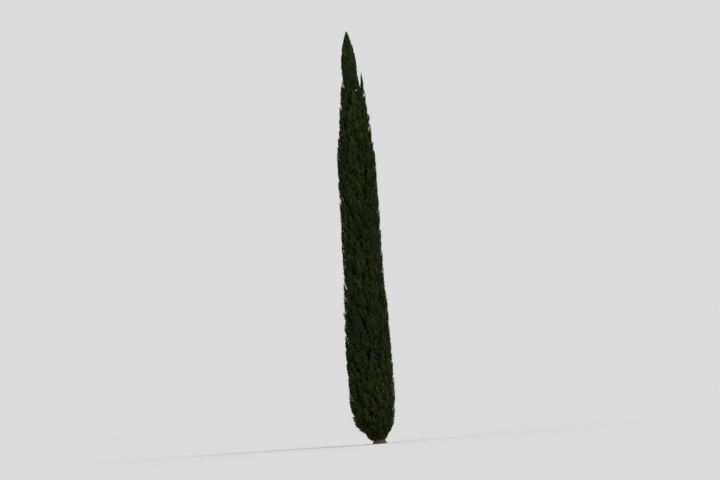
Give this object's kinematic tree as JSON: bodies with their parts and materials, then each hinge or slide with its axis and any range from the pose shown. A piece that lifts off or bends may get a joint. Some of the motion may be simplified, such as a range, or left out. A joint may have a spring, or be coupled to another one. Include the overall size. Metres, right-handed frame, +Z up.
{
  "type": "pencil cypress tree",
  "caption": "Whole columnar cypress: one straight trunk with a flared foot, ringed by steep, pointed plumes of dark scale foliage up to a sharp leader.",
  "frame": {"origin": "middle of the flat cut under the trunk, at ground level", "axes": "+Z up the trunk to the leader's tip; +X to the right of the picture, the side of the lower spire; +Y away from the camera"},
  "size_m": [1.6031, 1.6612, 13.9973],
  "materials": {
    "bark": "fibrous grey-brown bark in long shallow ridges",
    "foliage": "dull dark green scale leaves in fine upright sprays"
  },
  "bodies": {
    "root": {"leader": "foliage", "plume_01": "foliage", "plume_02": "foliage", "plume_03": "foliage", "plume_04": "foliage", "plume_05": "foliage", "plume_06": "foliage", "plume_07": "foliage", "plume_08": "foliage", "plume_09": "foliage", "plume_10": "foliage", "plume_11": "foliage", "plume_12": "foliage", "plume_13": "foliage", "plume_14": "foliage", "plume_15": "foliage", "plume_16": "foliage", "plume_17": "foliage", "plume_18": "foliage", "plume_19": "foliage", "plume_20": "foliage", "plume_21": "foliage", "plume_22": "foliage", "plume_23": "foliage", "plume_24": "foliage", "plume_25": "foliage", "plume_26": "foliage", "plume_27": "foliage", "plume_28": "foliage", "plume_29": "foliage", "plume_30": "foliage", "plume_31": "foliage", "plume_32": "foliage", "plume_33": "foliage", "plume_34": "foliage", "plume_36": "foliage", "plume_37": "foliage", "plume_38": "foliage", "plume_39": "foliage", "plume_40": "foliage", "plume_41": "foliage", "plume_42": "foliage", "side_spire": "foliage", "trunk": "bark"}
  },
  "joints": []
}
